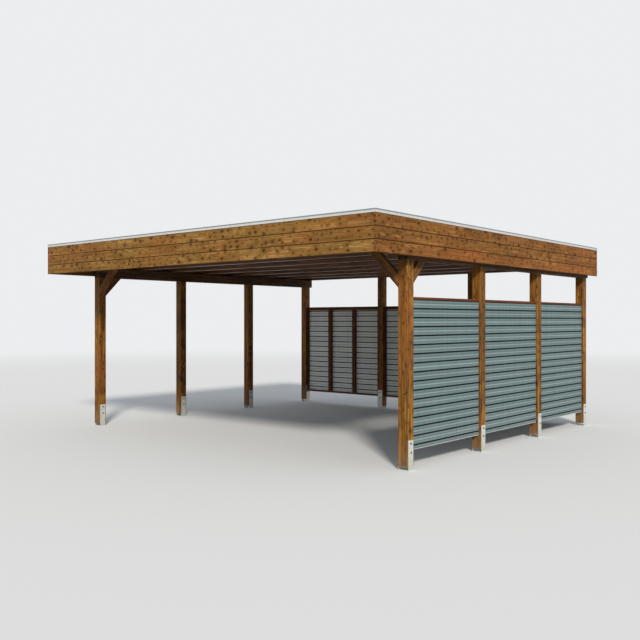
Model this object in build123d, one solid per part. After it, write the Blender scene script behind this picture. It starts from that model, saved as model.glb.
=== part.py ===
from build123d import *
import os

# A flat-roofed double carport in stained glued timber. Four posts on each side carry two long
# beams, and nine rafters lie across the beams. A three-board fascia with an aluminium edge trim
# goes round the front and both sides. The right side and the rear have boarded walls between the
# posts. The front and the left side are open.
# All sizes are in millimetres. X runs to the right along the front, Y to the rear and Z up. The
# origin is on the ground, in the middle of the roof's outline.

# Roof outline, over the edge trims
roof_width = 5910.0
roof_depth = 5710.0

# Edge trim, a folded profile on top of the fascia
trim_proud = 3.0
trim_sheet = 2.0
trim_height = 38.0
trim_seat_width = 27.0
trim_lip_width = 14.0
trim_step_height = 28.0

# Fascia, boards one above the other
fascia_bottom = 2263.0
fascia_board_height = 130.0
fascia_board_thickness = 24.0
fascia_board_count = 3
fascia_board_gap = 0.5
fascia_edge = 4.0
fascia_splice_from_front = 4330.0
fascia_spliced_rows = (1, 2)

# Eased edge of the posts, beams, rafters, braces and wall caps
timber_edge = 4.0

# Posts and their steel anchors
post_size = 120.0
post_ground_gap = 40.0
post_rows = 4
side_overhang = 110.0
anchor_plate_width = 90.0
anchor_plate_thickness = 5.0
anchor_height = 320.0
anchor_room = 1.0

# Long beams on the side posts
beam_bottom = 2235.0
beam_height = 140.0

# Rafters across the beams
rafter_count = 9
rafter_width = 60.0
rafter_height = 160.0
rear_eaves = 85.0
rear_post_lap = 120.0

# Knee braces at the front posts
brace_drop = 295.0
brace_thickness = 60.0
brace_depth = 100.0

# Trapezoidal roof sheet
sheet_thickness = 1.5
sheet_edge_clearance = 5.0
sheet_rear_overhang = 60.0
rib_height = 35.0
rib_pitch = 207.0
rib_crown = 40.0
rib_slope = 24.0

# Boarded walls
wall_rear_bays = 3
wall_inset = 25.0
wall_bottom = 205.0
wall_headroom = 420.0
board_cover = 97.5
board_thickness = 19.0
board_end_clearance = 2.0
joint_depth = 7.0
joint_half_width = 5.5
step_depth = 3.0
step_slope = 15.0
step_lip = 2.0
inner_joint_depth = 5.0
inner_joint_half_width = 5.0
inner_groove_depth = 3.0
inner_groove_half_width = 3.5
cut_margin = 10.0
batten_depth = 40.0
batten_width = 75.0
battens_per_wall = 2
stile_width = 30.0
rail_height = 32.0
cap_height = 28.0
cap_nosing = 6.0

# Places that follow from the sizes
fascia_half_width = roof_width / 2 - trim_proud
fascia_front = -roof_depth / 2 + trim_proud
fascia_rear = roof_depth / 2
fascia_inner_x = fascia_half_width - fascia_board_thickness
fascia_inner_y = fascia_front + fascia_board_thickness
fascia_row_step = fascia_board_height + fascia_board_gap
fascia_top = fascia_bottom + (fascia_board_count - 1) * fascia_row_step + fascia_board_height

post_x = fascia_half_width - side_overhang - post_size / 2
beam_top = beam_bottom + beam_height
rafter_top = beam_top + rafter_height
beam_width = post_size
brace_foot = beam_bottom - brace_drop
wall_top = beam_bottom - wall_headroom

first_rafter_y = fascia_inner_y + rafter_width / 2
last_rafter_y = fascia_rear - rear_eaves - rafter_width / 2
rafter_pitch = (last_rafter_y - first_rafter_y) / (rafter_count - 1)
rafter_ys = [first_rafter_y + i * rafter_pitch for i in range(rafter_count)]
front_post_rafter_y = rafter_ys[1]

front_post_y = front_post_rafter_y - rafter_width / 2 + post_size / 2
rear_post_y = last_rafter_y - rafter_width / 2 - post_size / 2
side_bay = (rear_post_y - front_post_y) / (post_rows - 1)
side_post_ys = [front_post_y + i * side_bay for i in range(post_rows)]
rear_bay = 2 * post_x / wall_rear_bays
rear_post_xs = [-post_x + i * rear_bay for i in range(wall_rear_bays + 1)]

beam_front = front_post_y - post_size / 2
beam_rear = last_rafter_y + rafter_width / 2

UP = Vector(0, 0, 1)
TO_RIGHT = Vector(1, 0, 0)
TO_LEFT = Vector(-1, 0, 0)
TO_FRONT = Vector(0, -1, 0)
TO_REAR = Vector(0, 1, 0)


def block(low, high):
    """A box between two opposite corners."""
    size = [b - a for a, b in zip(low, high)]
    return Pos(*low) * Box(*size, align=(Align.MIN, Align.MIN, Align.MIN))


def profile_bar(section, middle, outward, length):
    """A bar of one section. Its points are (outward, up) from middle, which is half way along."""
    plane = Plane(origin=middle, x_dir=outward, z_dir=outward.cross(UP))
    face = plane * make_face(Polyline(*section, close=True))
    return extrude(face, amount=length / 2, both=True)


def rectangle_section(out_low, out_high, up_low, up_high):
    """Corner points of a rectangular section."""
    return [(out_low, up_low), (out_high, up_low), (out_high, up_high), (out_low, up_high)]


def eased_section(out_low, out_high, up_low, up_high):
    """Corner points of a rectangular section with its four edges eased."""
    e = timber_edge
    return [
        (out_low + e, up_low),
        (out_high - e, up_low),
        (out_high, up_low + e),
        (out_high, up_high - e),
        (out_high - e, up_high),
        (out_low + e, up_high),
        (out_low, up_high - e),
        (out_low, up_low + e),
    ]


def post(x, y, top):
    """A square post with eased corners, standing clear of the ground on its anchor."""
    square = Rectangle(post_size, post_size)
    outline = chamfer(square.vertices(), timber_edge)
    return Pos(x, y, post_ground_gap) * extrude(outline, amount=top - post_ground_gap)


def post_anchor(x, y, facing):
    """Two upright plates on opposite faces of the post, joined by a web under the post."""
    inner = post_size / 2
    outer = inner + anchor_plate_thickness
    web_bottom = post_ground_gap - anchor_plate_thickness
    web = rectangle_section(-outer, outer, web_bottom, post_ground_gap)
    near = rectangle_section(inner, outer, 0, anchor_height)
    far = rectangle_section(-outer, -inner, 0, anchor_height)
    foot = Vector(x, y, 0)
    anchor = profile_bar(web, foot, facing, anchor_plate_width)
    anchor += profile_bar(near, foot, facing, anchor_plate_width)
    return anchor + profile_bar(far, foot, facing, anchor_plate_width)


def anchor_notch(x, y):
    """Room for the plates of a corner anchor, which is cut from the end of a rear wall."""
    reach = post_size / 2 + anchor_plate_thickness + anchor_room
    half_width = anchor_plate_width / 2 + anchor_room
    height = anchor_height + anchor_room
    return block((x - reach, y - half_width, 0), (x + reach, y + half_width, height))


def beam(x):
    """A long beam on one row of side posts, flush with the last rafter at the rear."""
    section = eased_section(-beam_width / 2, beam_width / 2, beam_bottom, beam_top)
    middle = Vector(x, (beam_front + beam_rear) / 2, 0)
    return profile_bar(section, middle, TO_RIGHT, beam_rear - beam_front)


def rafter(y):
    """One rafter across both beams, from fascia to fascia."""
    section = eased_section(-rafter_width / 2, rafter_width / 2, beam_top, rafter_top)
    return profile_bar(section, Vector(0, y, 0), TO_REAR, 2 * fascia_inner_x)


def knee_brace(foot, run, head_height, thickness):
    """A 45 degree brace: plumb cut against the post at foot, level cut under the timber above."""
    leg = head_height - foot.Z
    cut = brace_depth * 2 ** 0.5
    outline = [(0, 0), (leg, leg), (leg - cut, leg), (0, cut)]
    plane = Plane(origin=foot, x_dir=run, z_dir=run.cross(UP))
    face = plane * make_face(Polyline(*outline, close=True))
    brace = extrude(face, amount=thickness / 2, both=True)
    long_edges = brace.edges().filter_by(Axis(foot, run + UP))
    return chamfer(long_edges, timber_edge)


def fascia_section():
    """Section of one fascia board, with both outer edges eased."""
    t = fascia_board_thickness
    h = fascia_board_height
    e = fascia_edge
    return [(-t, 0), (-e, 0), (0, e), (0, h - e), (-e, h), (-t, h)]


def fascia_row_bottom(row):
    """Height of the lower edge of a row of fascia boards."""
    return fascia_bottom + row * fascia_row_step


def front_fascia():
    """Front boards, which fit between the ends of the side boards."""
    length = 2 * fascia_inner_x
    return [
        profile_bar(fascia_section(), Vector(0, fascia_front, fascia_row_bottom(row)), TO_FRONT, length)
        for row in range(fascia_board_count)
    ]


def side_fascia(outward):
    """Side boards. The spliced rows are made of two lengths, end to end."""
    splice = fascia_front + fascia_splice_from_front
    boards = []
    for row in range(fascia_board_count):
        stops = [fascia_front, fascia_rear]
        if row in fascia_spliced_rows:
            stops = [fascia_front, splice, fascia_rear]
        for index, (start, end) in enumerate(zip(stops, stops[1:])):
            start = start + (fascia_board_gap if index else 0)
            middle = Vector(outward.X * fascia_half_width, (start + end) / 2, fascia_row_bottom(row))
            boards.append(profile_bar(fascia_section(), middle, outward, end - start))
    return boards


def trim_section():
    """Edge trim: a seat on the fascia, a stepped face and a lip that turns inwards."""
    p = trim_proud
    s = trim_sheet
    return [
        (p - trim_seat_width, 0),
        (p, 0),
        (p, trim_step_height),
        (p - s, trim_step_height + s),
        (p - s, trim_height),
        (p - trim_lip_width, trim_height),
        (p - trim_lip_width, trim_height - s),
        (p - 2 * s, trim_height - s),
        (p - 2 * s, trim_step_height + s),
        (p - s, trim_step_height),
        (p - s, s),
        (p - trim_seat_width, s),
    ]


def trim_footprint(corners):
    """A tall prism over plan corners, which cuts the mitres of a trim."""
    face = make_face(Polyline(*corners, close=True))
    return Pos(0, 0, fascia_top) * extrude(face, amount=trim_height)


def front_trim():
    """Front edge trim, mitred at both ends."""
    half, front, run = roof_width / 2, -roof_depth / 2, trim_seat_width
    corners = [(-half, front), (half, front), (half - run, front + run), (run - half, front + run)]
    bar = profile_bar(trim_section(), Vector(0, fascia_front, fascia_top), TO_FRONT, roof_width)
    return bar & trim_footprint(corners)


def side_trim(outward):
    """Side edge trim, mitred at the front end only."""
    side = outward.X
    half, front, rear, run = roof_width / 2, -roof_depth / 2, roof_depth / 2, trim_seat_width
    corners = [
        (side * half, front),
        (side * half, rear),
        (side * (half - run), rear),
        (side * (half - run), front + run),
    ]
    middle = Vector(side * fascia_half_width, 0, fascia_top)
    bar = profile_bar(trim_section(), middle, outward, roof_depth)
    return bar & trim_footprint(corners)


def roof_sheet():
    """Trapezoidal sheet with its ribs from front to rear, resting on the rafters."""
    half = fascia_inner_x - sheet_edge_clearance
    rib_base = rib_crown + 2 * rib_slope
    rib_total = int((2 * half - rib_base) // rib_pitch) + 1
    first_rib = -(rib_total - 1) * rib_pitch / 2
    upper = [(-half, 0)]
    for i in range(rib_total):
        x = first_rib + i * rib_pitch
        upper.append((x - rib_base / 2, 0))
        upper.append((x - rib_crown / 2, rib_height))
        upper.append((x + rib_crown / 2, rib_height))
        upper.append((x + rib_base / 2, 0))
    upper.append((half, 0))
    outline = [(x, z + sheet_thickness) for x, z in upper] + list(reversed(upper))
    start = fascia_inner_y + sheet_edge_clearance
    end = beam_rear + sheet_rear_overhang
    middle = Vector(0, (start + end) / 2, rafter_top)
    return profile_bar(outline, middle, TO_RIGHT, end - start)


def cut_heights(first, rise):
    """Heights at equal steps from the first, as far as they keep clear of the wall's edges."""
    heights = []
    height = first
    while wall_bottom + cut_margin < height < wall_top - cut_margin:
        heights.append(height)
        height += rise
    return heights


def v_cut(face, depth_to, height, below, above):
    """Three points of a V cut, from its lower edge to its upper edge."""
    return [(face, height - below), (depth_to, height), (face, height + above)]


def wall_boards_section(edge, rise):
    """Section of a boarded wall whose boards are stacked from one edge, up or down.

    The outer face has a deep joint between boards, and half way up each board a step with a long
    slope that sheds water. The inner face has a joint and a finer groove at the same heights.
    """
    joints = cut_heights(edge + rise, rise)
    middles = cut_heights(edge + rise / 2, rise)
    back = -board_thickness
    outer = [(0, wall_bottom)]
    inner = [(back, wall_bottom)]
    for height in sorted(joints + middles):
        if height in joints:
            outer += v_cut(0, -joint_depth, height, joint_half_width, joint_half_width)
            inner += v_cut(
                back, back + inner_joint_depth, height, inner_joint_half_width, inner_joint_half_width
            )
        else:
            outer += v_cut(0, -step_depth, height + step_slope / 2, step_slope, step_lip)
            inner += v_cut(
                back, back + inner_groove_depth, height, inner_groove_half_width, inner_groove_half_width
            )
    outer.append((0, wall_top))
    inner.append((back, wall_top))
    return outer + inner[::-1]


def wall_boards(section, middle, outward, clear):
    """The boards of one wall, between two posts."""
    return profile_bar(section, middle, outward, clear - 2 * board_end_clearance)


def wall_frame(middle, outward, clear):
    """Cap, rails, end stiles and battens behind the boards of one wall."""
    run = outward.cross(UP)
    back = -board_thickness - batten_depth
    cap = eased_section(back, cap_nosing, wall_top, wall_top + cap_height)
    top_rail = rectangle_section(back, -board_thickness, wall_top - rail_height, wall_top)
    bottom_rail = rectangle_section(back, -board_thickness, wall_bottom, wall_bottom + rail_height)
    upright = rectangle_section(
        back, -board_thickness, wall_bottom + rail_height, wall_top - rail_height
    )
    frame = profile_bar(cap, middle, outward, clear)
    frame += profile_bar(top_rail, middle, outward, clear)
    frame += profile_bar(bottom_rail, middle, outward, clear)
    for end in (-1, 1):
        place = middle + run * (end * (clear - stile_width) / 2)
        frame += profile_bar(upright, place, outward, stile_width)
    for i in range(battens_per_wall):
        along = clear * ((i + 1) / (battens_per_wall + 1) - 0.5)
        frame += profile_bar(upright, middle + run * along, outward, batten_width)
    return frame


def side_wall_middle(bay):
    """Point on the outer face line of a right-hand wall, half way between its posts."""
    x = post_x + post_size / 2 - wall_inset
    return Vector(x, (side_post_ys[bay] + side_post_ys[bay + 1]) / 2, 0)


def rear_wall_middle(bay):
    """Point on the outer face line of a rear wall, half way between its posts."""
    y = rear_post_y + post_size / 2 - wall_inset
    return Vector((rear_post_xs[bay] + rear_post_xs[bay + 1]) / 2, y, 0)


def build_carport():
    """Every node of the carport, by name."""
    nodes = {}
    sides = {"left": TO_LEFT, "right": TO_RIGHT}
    rear_mid_xs = rear_post_xs[1:-1]

    for side, outward in sides.items():
        x = outward.X * post_x
        for i, y in enumerate(side_post_ys, start=1):
            nodes[f"post_{side}_{i}"] = post(x, y, beam_bottom)
        nodes[f"post_anchors_{side}"] = Compound([post_anchor(x, y, outward) for y in side_post_ys])
        nodes[f"beam_{side}"] = beam(x)

        side_foot = Vector(x, front_post_y + post_size / 2, brace_foot)
        nodes[f"brace_{side}_side"] = knee_brace(side_foot, TO_REAR, beam_bottom, brace_thickness)
        front_foot = Vector(x - outward.X * post_size / 2, front_post_rafter_y, brace_foot)
        nodes[f"brace_{side}_front"] = knee_brace(front_foot, -outward, beam_top, rafter_width)

        nodes[f"fascia_{side}"] = Compound(side_fascia(outward))
        nodes[f"trim_{side}"] = side_trim(outward)

    for i, x in enumerate(rear_mid_xs, start=1):
        nodes[f"post_rear_{i}"] = post(x, rear_post_y, beam_top + rear_post_lap)
    nodes["post_anchors_rear"] = Compound([post_anchor(x, rear_post_y, TO_REAR) for x in rear_mid_xs])

    for i, y in enumerate(rafter_ys, start=1):
        nodes[f"rafter_{i}"] = rafter(y)

    nodes["fascia_front"] = Compound(front_fascia())
    nodes["trim_front"] = front_trim()
    nodes["roof_sheet"] = roof_sheet()

    side_section = wall_boards_section(wall_top, -board_cover)
    side_clear = side_bay - post_size
    side_frames = []
    for bay in range(post_rows - 1):
        middle = side_wall_middle(bay)
        nodes[f"side_wall_{bay + 1}"] = wall_boards(side_section, middle, TO_RIGHT, side_clear)
        side_frames.append(wall_frame(middle, TO_RIGHT, side_clear))
    nodes["side_wall_frames"] = Compound(side_frames)

    rear_section = wall_boards_section(wall_bottom, board_cover)
    rear_clear = rear_bay - post_size
    notches = anchor_notch(-post_x, rear_post_y) + anchor_notch(post_x, rear_post_y)
    rear_frames = []
    for bay in range(wall_rear_bays):
        middle = rear_wall_middle(bay)
        boards = wall_boards(rear_section, middle, TO_REAR, rear_clear)
        nodes[f"rear_wall_{bay + 1}"] = boards - notches
        rear_frames.append(wall_frame(middle, TO_REAR, rear_clear) - notches)
    nodes["rear_wall_frames"] = Compound(rear_frames)
    return nodes


os.makedirs("parts", exist_ok=True)
for name, shape in build_carport().items():
    export_step(shape, f"parts/{name}.step")
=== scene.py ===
"""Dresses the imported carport: knotty stained timber, slate boards, zinc, aluminium and their fixings.

Lengths are metres and directions are the part's own: X to the right along the front, Y to the
rear, Z up from the ground.
"""

import logging
import math
from abc import ABC, abstractmethod
from dataclasses import dataclass
from enum import Enum
from typing import Callable, Self, Sequence, Union

import bpy
import numpy as np
from bpy.types import ID, Material, Node, NodeSocket, NodeTree, Object, World
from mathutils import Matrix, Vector


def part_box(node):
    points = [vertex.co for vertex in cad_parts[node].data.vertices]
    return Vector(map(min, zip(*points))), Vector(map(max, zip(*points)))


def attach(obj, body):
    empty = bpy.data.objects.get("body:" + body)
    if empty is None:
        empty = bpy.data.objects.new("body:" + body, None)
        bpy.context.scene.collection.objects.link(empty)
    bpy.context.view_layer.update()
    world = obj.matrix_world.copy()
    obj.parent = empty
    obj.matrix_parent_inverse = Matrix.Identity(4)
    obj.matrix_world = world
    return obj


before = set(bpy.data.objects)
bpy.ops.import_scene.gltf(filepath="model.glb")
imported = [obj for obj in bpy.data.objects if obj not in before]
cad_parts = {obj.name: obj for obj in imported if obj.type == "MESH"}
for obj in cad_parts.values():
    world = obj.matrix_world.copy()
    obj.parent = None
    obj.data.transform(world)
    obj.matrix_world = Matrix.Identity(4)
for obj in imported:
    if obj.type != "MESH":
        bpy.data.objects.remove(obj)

log = logging.getLogger("carport")

Colour = Triple = tuple[float, float, float]
Value = Union[float, Triple, "Term"]
Inputs = dict[Union[str, int], Value]
Terms = dict[str, "Term"]
Spots = tuple[np.ndarray, np.ndarray]
Floats = Sequence[float]
Profile = Sequence[tuple[float, float]]

ROOT = "root"
SLANT = math.sqrt(0.5)
SHARP_ANGLE = math.radians(35)
SUNK = 0.0005  # how far the foot of a fitting is let into what it sits on
CHAMFER = 0.001  # height of the chamfer of a six-sided head or nut
FAR = 99.0  # beyond every part of the carport

KNOT_RADII = (0.005, 0.016)
HALO_REACH = 3.2  # in radii of the knot
FIBRE_PULL = 0.8  # how far a knot draws the fibres' coordinate together
FIBRES_A_METRE = 260
STREAKS_A_METRE = 36
RINGS_A_METRE = 150.0
GRAIN_SHIFT = 41.3  # how far the grain lies shifted along a row whose chance is 1


def paint(red: int, green: int, blue: int) -> Colour:
    """Turns a colour as a picture stores it into the linear colour that shaders use.

    Args:
        red, green, blue: Its parts, from 0 to 255.

    Returns:
        The linear parts, from 0 to 1.
    """
    shares = np.array([red, green, blue]) / 255.0
    low = shares / 12.92
    high = ((shares + 0.055) / 1.055) ** 2.4
    return tuple(float(c) for c in np.where(shares <= 0.04045, low, high))


@dataclass(frozen=True)
class Term:
    """What a shader node gives out by a socket, and the bench that the node stands on."""

    bench: "Bench"
    socket: NodeSocket


def operator(kind: str) -> Callable[["Measure", Value], "Measure"]:
    """A method that takes one step of arithmetic with another value."""
    return lambda self, other: self.step(kind, other)


class Measure(Term):
    """A number, or a point that is reckoned part by part, with the arithmetic that both have."""

    maths = "ShaderNodeMath"
    __add__ = operator("ADD")
    __sub__ = operator("SUBTRACT")
    __mul__ = operator("MULTIPLY")
    __truediv__ = operator("DIVIDE")

    def step(self, kind: str, *others: Value) -> Self:
        """One step of arithmetic that starts with this one."""
        return self.bench.out(self.maths, dict(enumerate((self, *others))), operation=kind)


class Number(Measure):
    """A number that changes over the surface."""

    def __rsub__(self, other: Value) -> Self:
        """Another less this."""
        return self.bench.out(self.maths, {0: other, 1: self}, operation="SUBTRACT")

    def __abs__(self) -> Self:
        """This without its sign."""
        return self.step("ABSOLUTE")

    def most(self, other: Value) -> Self:
        """The greater of this and another."""
        return self.step("MAXIMUM", other)

    def above(self, limit: Value) -> Self:
        """1 where this is more than the limit, otherwise 0."""
        return self.step("GREATER_THAN", limit)

    def rise(self, low: Value, high: Value) -> Self:
        """A smooth step from 0 at low to 1 at high."""
        inputs = {"Value": self, "From Min": low, "From Max": high}
        return self.bench.out("ShaderNodeMapRange", inputs, interpolation_type="SMOOTHSTEP")

    def spread(self, low: Value, high: Value) -> Self:
        """This, from 0 to 1, carried to the range from low to high."""
        return self.bench.out("ShaderNodeMapRange", {"Value": self, "To Min": low, "To Max": high})


class Point(Measure):
    """A place or a direction that changes over the surface."""

    maths = "ShaderNodeVectorMath"

    def length(self) -> Number:
        """The distance from the origin."""
        return self.bench.out(self.maths, {0: self}, "Value", operation="LENGTH")

    def along(self, axis: Triple) -> Number:
        """How far this reaches along a unit direction."""
        return self.bench.out(self.maths, {0: self, 1: axis}, "Value", operation="DOT_PRODUCT")

    def parts(self) -> list[Number]:
        """The three parts."""
        split = self.bench.node("ShaderNodeSeparateXYZ", {0: self})
        return [Number(self.bench, socket) for socket in split.outputs]

    def noise(self, detail: float = 2.0, rough: float = 0.5) -> Number:
        """Cloudy noise about 0.5, one cloud to a unit of this place."""
        inputs = {"Vector": self, "Scale": 1.0, "Detail": detail, "Roughness": rough}
        return self.bench.out("ShaderNodeTexNoise", inputs, "Fac")


class Tint(Term):
    """A colour that changes over the surface."""

    def mix(self, share: Value, other: Value) -> Self:
        """This, with a share of another colour."""
        return self.bench.blend(share, self, other)

    def times(self, tone: Number) -> Self:
        """This, lightened or darkened by a tone about 1."""
        return self.bench.blend(1.0, self, tone, "MULTIPLY")


KINDS = {"VALUE": Number, "VECTOR": Point, "RGBA": Tint}


@dataclass(frozen=True)
class Bench:
    """Places shader nodes in the node tree of a material, a world or a group, and wires them."""

    tree: NodeTree

    def put(self, socket: NodeSocket, value: Value) -> None:
        """Links an input to what a node gives out, or sets the input's own value.

        Args:
            socket: The input.
            value: A term, or a number, colour or point.
        """
        if isinstance(value, Term):
            self.tree.links.new(value.socket, socket)
        elif isinstance(value, (int, float)):
            socket.default_value = float(value)
        else:
            socket.default_value = (*value, 1.0)[: len(socket.default_value)]

    def node(self, kind: str, inputs: Inputs, **settings: object) -> Node:
        """Adds one node.

        Args:
            kind: Blender's identifier of the node type.
            inputs: Values by input name or number.
            settings: The node's own properties.

        Returns:
            The new node.
        """
        made = self.tree.nodes.new(kind)
        for name, setting in settings.items():
            setattr(made, name, setting)
        for name, value in inputs.items():
            self.put(made.inputs[name], value)
        return made

    def term(self, socket: NodeSocket) -> Term:
        """What a socket gives out, as the number, point, tint or shader that it is."""
        return KINDS.get(socket.type, Term)(self, socket)

    def out(self, kind: str, inputs: Inputs, output: Union[str, int] = 0, **settings: object) -> Term:
        """Adds one node, as above, and gives the output of this name or number."""
        return self.term(self.node(kind, inputs, **settings).outputs[output])

    def join(self, x: Value, y: Value, z: Value) -> Point:
        """A point from its three parts."""
        return self.out("ShaderNodeCombineXYZ", {0: x, 1: y, 2: z})

    def blend(self, share: Value, first: Value, second: Value, kind: str = "MIX") -> Tint:
        """Mixes two colours by a share of the second."""
        inputs = {0: share, 6: first, 7: second}
        return self.out("ShaderNodeMix", inputs, 2, data_type="RGBA", blend_type=kind)

    def bump(self, height: Number, depth: float) -> Point:
        """A normal from a height of 0 to 1 that stands for a depth in metres."""
        return self.out("ShaderNodeBump", {"Height": height, "Distance": depth})

    def place(self) -> Point:
        """The surface's place on the part, in metres."""
        return self.out("ShaderNodeTexCoord", {}, "Object")

    def facing(self) -> Point:
        """The direction that the surface faces on the part."""
        return self.out("ShaderNodeTexCoord", {}, "Normal")


def empty_bench(owner: Union[Material, World]) -> Bench:
    """Clears the nodes of a new material or world.

    Args:
        owner: The material or world.

    Returns:
        The bench to build its nodes on.
    """
    owner.use_nodes = True
    owner.node_tree.nodes.clear()
    return Bench(owner.node_tree)


Wiring = Callable[[Bench, Terms], Terms]


def group_tree(name: str, inputs: dict[str, Value], wire: Wiring) -> NodeTree:
    """Makes a shader group.

    Args:
        name: The group's name.
        inputs: Default values by input name. One number makes a number, three make a point.
        wire: Builds the inside from the inputs by name and returns the outputs by name.

    Returns:
        The group's node tree.
    """
    tree = bpy.data.node_groups.new(name, "ShaderNodeTree")
    for label, default in inputs.items():
        kind = "NodeSocketFloat" if isinstance(default, float) else "NodeSocketVector"
        tree.interface.new_socket(label, in_out="INPUT", socket_type=kind).default_value = default
    bench = Bench(tree)
    source = tree.nodes.new("NodeGroupInput")
    made = wire(bench, {s.name: bench.term(s) for s in source.outputs if s.name})
    for label in made:
        tree.interface.new_socket(label, in_out="OUTPUT", socket_type="NodeSocketFloat")
    target = tree.nodes.new("NodeGroupOutput")
    for label, term in made.items():
        bench.put(target.inputs[label], term)
    return tree


def shader_group(name: str, **defaults: Value) -> Callable[[Wiring], Callable[..., Terms]]:
    """Turns a function that wires nodes into one that places them as a group, made at the first use.

    Args:
        name: The group's name.
        defaults: Default values by input name.

    Returns:
        The decorator.
    """

    def decorate(wire: Wiring) -> Callable[..., Terms]:
        """Puts a function that places the group where the one that wires it was.

        Args:
            wire: The function that wires it.

        Returns:
            The function that places it.
        """

        def place(b: Bench, **inputs: Value) -> Terms:
            """Places the group.

            Args:
                b: The bench that it is placed on.
                inputs: Values by input name.

            Returns:
                The outputs by name.
            """
            tree = bpy.data.node_groups.get(name) or group_tree(name, defaults, wire)
            made = b.node("ShaderNodeGroup", inputs, node_tree=tree)
            return {socket.name: b.term(socket) for socket in made.outputs}

        return place

    return decorate


@shader_group("board_rows", Height=0.0, Start=0.0, Step=0.1, Seed=0.0)
def board_rows(b: Bench, given: Terms) -> Terms:
    """Rows of boards or lamellas, from the whole and the rest of the height over the step.

    Row is how many steps a height lies above the start, Off is the distance in metres from the
    middle of its row, Chance is a random number that each row keeps, and Edge is the distance in
    metres to the nearest joint.

    Args:
        b: The bench inside the group.
        given: The inputs by name.

    Returns:
        The outputs by name.
    """
    steps = (given["Height"] - given["Start"]) / given["Step"]
    row = steps.step("FLOOR")
    off = (steps.step("FRACT") - 0.5) * given["Step"]
    edge = given["Step"] * 0.5 - abs(off)
    chance = b.out("ShaderNodeTexWhiteNoise", {"Vector": b.join(row, given["Seed"], 0.5)}, "Value")
    return {"Row": row, "Off": off, "Chance": chance, "Edge": edge}


@shader_group(
    "knotty_grain", Place=(0, 0, 0), Off=0.0, Chance=0.0, Spacing=(0.3, 0.1, 0.1),
    Roundness=(0.8, 1, 1), Share=0.5,
)
def knotty_grain(b: Bench, given: Terms) -> Terms:
    """Grain of spruce, with its length along the first coordinate.

    One knot at most lies in each cell of Spacing, ragged, and of its own size and darkness. The
    fibres pass round it, because their sideways coordinate is drawn together near the knot by a
    bell curve of the distance to it. The rings are steps of the distance to a pith that wanders
    behind the board. A check is a drying crack along a contour of stretched noise.

    Args:
        b: The bench inside the group.
        given: The inputs by name.

    Returns:
        The outputs by name.
    """
    chance = given["Chance"]
    start = given["Place"] + b.join(chance * GRAIN_SHIFT, 0.0, 0.0)
    waves = {"Vector": start * (1.3, 5, 5), "Scale": 1.0, "Detail": 1.0}
    wave = Point(b, b.node("ShaderNodeTexNoise", waves).outputs["Color"])
    place = start + (wave - (0.5, 0.5, 0.5)) * (0, 0.02, 0.02)

    cells = b.node("ShaderNodeTexVoronoi", {"Vector": place / given["Spacing"], "Scale": 1.0})
    heart = Point(b, cells.outputs["Position"]) * given["Spacing"]
    away = place - heart
    first, second, third = Point(b, cells.outputs["Color"]).parts()
    crowd = (heart * (1.4, 5, 5)).noise(1.0).spread(0.1, 1.9)
    there = (given["Share"] * crowd).above(second) * third.spread(0.45, 1.0)
    ragged = (place * (80, 110, 110)).noise(1.0).spread(0.6, 1.4)
    distance = (away * given["Roundness"]).length() * ragged / (first * first).spread(*KNOT_RADII)
    knot = there * distance.rise(1.25, 0.7)
    rim = there * abs(distance - 1.1).rise(0.5, 0.1)
    halo = there * (distance / HALO_REACH).step("POWER", 2.0).step("MULTIPLY", -1.0).step("EXPONENT")

    pull = away * b.join(0.0, halo * FIBRE_PULL, halo * FIBRE_PULL)
    fibres = place - pull
    fibre = (fibres * (3.0, FIBRES_A_METRE, FIBRES_A_METRE)).noise(3.0, 0.6)
    streak = (fibres * (1.3, STREAKS_A_METRE, STREAKS_A_METRE)).noise(3.0, 0.6)
    cloud = (place * (1.6, 6, 6)).noise()
    crack = abs((fibres * (0.8, 30, 30)).noise(1.0) - 0.5).rise(0.006, 0.001)
    check = crack * (place * (0.9, 9, 9)).noise(1.0).rise(0.56, 0.62)

    along = start.parts()[0]
    sideways = pull.parts()[1]
    depth = b.join(along * 0.7, chance, 0.0).noise(1.0) * 0.11 - 0.02
    across = given["Off"] - sideways - (chance * 0.08 - 0.04)
    turns = b.join(across, depth, 0.0).length() * RINGS_A_METRE + streak * 1.2
    ring = turns.step("FRACT")
    late = ring.rise(0.25, 0.9) * ring.rise(1.0, 0.93)
    return {
        "Fibre": fibre, "Streak": streak, "Cloud": cloud, "Ring": late,
        "Knot": knot, "Rim": rim, "Halo": halo, "Check": check,
    }


@shader_group("outdoor_wear", Place=(0, 0, 0), Top=0.55)
def outdoor_wear(b: Bench, given: Terms) -> Terms:
    """What weather leaves, by plain and stretched noise.

    Blotch changes slowly all over, Runs go down upright faces, and Splash is dust from the
    ground that fades out by a noisy height.

    Args:
        b: The bench inside the group.
        given: The inputs by name.

    Returns:
        The outputs by name.
    """
    here = given["Place"]
    blotch = (here * (1.1, 1.1, 1.6)).noise(4.0, 0.6)
    runs = (here * (16, 16, 0.8)).noise(3.0, 0.6)
    level = here.parts()[2] + (here * (60, 60, 60)).noise(4.0, 0.7) * 0.34
    return {"Blotch": blotch, "Runs": runs, "Splash": level.rise(given["Top"], 0.12)}


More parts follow.
